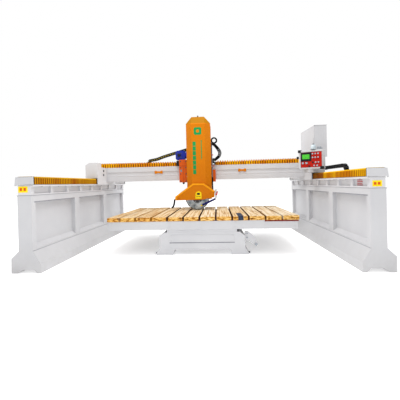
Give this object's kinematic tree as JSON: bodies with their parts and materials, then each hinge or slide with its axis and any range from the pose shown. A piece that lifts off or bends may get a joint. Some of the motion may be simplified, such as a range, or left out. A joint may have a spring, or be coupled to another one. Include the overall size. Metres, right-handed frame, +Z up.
{
  "type": "stone bridge saw",
  "caption": "Bridge saw for stone: floor stands carry a rolling bridge, a traversing carriage and a lifting head with a diamond blade over a turning timber table.",
  "frame": {"origin": "on the floor, in the middle of the machine's box", "axes": "+X to the operator's right along the bridge, +Y away from the operator along the stands, +Z up"},
  "size_m": [5.176, 3.86, 2.625],
  "materials": {
    "white_paint": "satin off-white machine enamel",
    "orange_paint": "satin orange enamel",
    "saddle_orange": "satin dark orange enamel",
    "blue_paint": "satin blue motor enamel",
    "bellows": "coated yellow-orange bellows cloth",
    "wood": "rough-sawn pine",
    "ground_steel": "ground, lightly oiled",
    "blade_steel": "rolled steel core with sintered rim",
    "cast_grey": "painted grey casting",
    "black_plastic": "matt moulded nylon",
    "rubber": "matt black",
    "chrome": "satin metal caps",
    "panel_red": "red membrane front",
    "red_plastic": "red lever sleeve"
  },
  "bodies": {
    "stands": {"left_stand": "white_paint", "left_rail_bed": "white_paint", "left_guide_rail": "ground_steel", "left_front_end_cap": "white_paint", "left_rear_end_cap": "white_paint", "left_front_bellows": "bellows", "left_rear_bellows": "bellows", "right_stand": "white_paint", "right_rail_bed": "white_paint", "right_guide_rail": "ground_steel", "right_front_end_cap": "white_paint", "right_rear_end_cap": "white_paint", "right_front_bellows": "bellows", "right_rear_bellows": "bellows", "pedestal": "white_paint", "tilt_arm": "white_paint"},
    "table": {"table_frame": "white_paint", "table_planks": "wood"},
    "bridge": {"bridge_beam": "white_paint", "left_truck": "white_paint", "right_truck": "white_paint", "left_beam_bellows": "bellows", "right_beam_bellows": "bellows", "bridge_cable_chain": "black_plastic", "carriage_cable_chain": "black_plastic", "cabinet": "white_paint", "panel_box": "white_paint", "panel_face": "panel_red"},
    "door": {"cabinet_door": "white_paint"},
    "left_pinion": {"left_travel_pinion": "ground_steel"},
    "right_pinion": {"right_travel_pinion": "ground_steel"},
    "carriage": {"saddle": "saddle_orange", "traverse_gearmotor": "blue_paint", "cable_bundle": "rubber"},
    "carriage_pinion": {"traverse_pinion": "ground_steel"},
    "head": {"column_cover": "orange_paint", "lift_slide": "cast_grey", "main_motor": "blue_paint", "drive_belt": "rubber", "blade_guard": "orange_paint", "water_pipe": "blue_paint", "splash_flap": "rubber"},
    "motor_shaft": {"motor_pulley": "ground_steel"},
    "blade_shaft": {"spindle": "ground_steel", "clamp_flange": "cast_grey", "blade": "blade_steel"},
    "lever": {"valve_lever": "red_plastic"},
    "button_1": {"push_button_1": "chrome"},
    "button_2": {"push_button_2": "chrome"},
    "button_3": {"push_button_3": "chrome"},
    "button_4": {"push_button_4": "chrome"},
    "button_5": {"push_button_5": "chrome"},
    "button_6": {"push_button_6": "chrome"},
    "button_7": {"push_button_7": "chrome"},
    "button_8": {"push_button_8": "chrome"},
    "button_9": {"push_button_9": "chrome"},
    "button_10": {"push_button_10": "chrome"},
    "knob_1": {"speed_knob_1": "chrome"},
    "knob_2": {"speed_knob_2": "chrome"}
  },
  "joints": [
    {"name": "bridge_travel", "type": "slide", "parent": "stands", "child": "bridge", "axis": [0, 1, 0], "range_m": [-1.3, 0.45], "deforming": ["left_front_bellows", "left_rear_bellows", "right_front_bellows", "right_rear_bellows", "bridge_cable_chain"]},
    {"name": "carriage_traverse", "type": "slide", "parent": "bridge", "child": "carriage", "axis": [1, 0, 0], "range_m": [-1.3, 1.5], "deforming": ["left_beam_bellows", "right_beam_bellows", "carriage_cable_chain"]},
    {"name": "head_lift", "type": "slide", "parent": "carriage", "child": "head", "axis": [0, 0, 1], "range_m": [0, 0.3], "deforming": ["cable_bundle"]},
    {"name": "blade_spin", "type": "hinge", "parent": "head", "child": "blade_shaft", "pos_m": [-0.115, 0.245, 0.897], "axis": [0, 1, 0], "continuous": true},
    {"name": "motor_spin", "type": "hinge", "parent": "head", "child": "motor_shaft", "pos_m": [-0.115, 0.4625, 2.3], "axis": [0, 1, 0], "continuous": true},
    {"name": "table_turn", "type": "hinge", "parent": "stands", "child": "table", "pos_m": [0.03, 0, 0.402], "axis": [0, 0, 1], "range_deg": [-90, 90]},
    {"name": "left_pinion_roll", "type": "hinge", "parent": "bridge", "child": "left_pinion", "pos_m": [-2.4185, 0.65, 1.3103], "axis": [1, 0, 0], "range_deg": [-545, 1560]},
    {"name": "right_pinion_roll", "type": "hinge", "parent": "bridge", "child": "right_pinion", "pos_m": [2.4185, 0.65, 1.3103], "axis": [1, 0, 0], "range_deg": [-545, 1560]},
    {"name": "carriage_pinion_roll", "type": "hinge", "parent": "carriage", "child": "carriage_pinion", "pos_m": [-0.45, 0.778, 1.6513], "axis": [0, 1, 0], "range_deg": [-2075, 2395]},
    {"name": "door_swing", "type": "hinge", "parent": "bridge", "child": "door", "pos_m": [2.314, 1.148, 2.026], "axis": [0, 0, 1], "range_deg": [-110, 0]},
    {"name": "valve_turn", "type": "hinge", "parent": "head", "child": "lever", "pos_m": [0.28, 0.19, 0.965], "axis": [0, 1, 0], "range_deg": [0, 90]},
    {"name": "button_1_press", "type": "slide", "parent": "bridge", "child": "button_1", "axis": [0.5736, 0.8192, 0], "range_m": [0, 0.003], "stiffness_N_per_m": 600, "springref_m": -0.002},
    {"name": "button_2_press", "type": "slide", "parent": "bridge", "child": "button_2", "axis": [0.5736, 0.8192, 0], "range_m": [0, 0.003], "stiffness_N_per_m": 600, "springref_m": -0.002},
    {"name": "button_3_press", "type": "slide", "parent": "bridge", "child": "button_3", "axis": [0.5736, 0.8192, 0], "range_m": [0, 0.003], "stiffness_N_per_m": 600, "springref_m": -0.002},
    {"name": "button_4_press", "type": "slide", "parent": "bridge", "child": "button_4", "axis": [0.5736, 0.8192, 0], "range_m": [0, 0.003], "stiffness_N_per_m": 600, "springref_m": -0.002},
    {"name": "button_5_press", "type": "slide", "parent": "bridge", "child": "button_5", "axis": [0.5736, 0.8192, 0], "range_m": [0, 0.003], "stiffness_N_per_m": 600, "springref_m": -0.002},
    {"name": "button_6_press", "type": "slide", "parent": "bridge", "child": "button_6", "axis": [0.5736, 0.8192, 0], "range_m": [0, 0.003], "stiffness_N_per_m": 600, "springref_m": -0.002},
    {"name": "button_7_press", "type": "slide", "parent": "bridge", "child": "button_7", "axis": [0.5736, 0.8192, 0], "range_m": [0, 0.003], "stiffness_N_per_m": 600, "springref_m": -0.002},
    {"name": "button_8_press", "type": "slide", "parent": "bridge", "child": "button_8", "axis": [0.5736, 0.8192, 0], "range_m": [0, 0.003], "stiffness_N_per_m": 600, "springref_m": -0.002},
    {"name": "button_9_press", "type": "slide", "parent": "bridge", "child": "button_9", "axis": [0.5736, 0.8192, 0], "range_m": [0, 0.003], "stiffness_N_per_m": 600, "springref_m": -0.002},
    {"name": "button_10_press", "type": "slide", "parent": "bridge", "child": "button_10", "axis": [0.5736, 0.8192, 0], "range_m": [0, 0.003], "stiffness_N_per_m": 600, "springref_m": -0.002},
    {"name": "knob_1_turn", "type": "hinge", "parent": "bridge", "child": "knob_1", "pos_m": [1.97352, -0.09259, 1.5412], "axis": [0.5736, 0.8192, 0], "range_deg": [-135, 135]},
    {"name": "knob_2_turn", "type": "hinge", "parent": "bridge", "child": "knob_2", "pos_m": [2.03103, -0.13285, 1.5412], "axis": [0.5736, 0.8192, 0], "range_deg": [-135, 135]}
  ],
  "couplings": [
    {"joint": "motor_spin", "follows": "blade_spin", "ratio": 0.79487},
    {"joint": "left_pinion_roll", "follows": "bridge_travel", "rad_per_m": -20.833},
    {"joint": "right_pinion_roll", "follows": "bridge_travel", "rad_per_m": -20.833},
    {"joint": "carriage_pinion_roll", "follows": "carriage_traverse", "rad_per_m": 27.778}
  ]
}
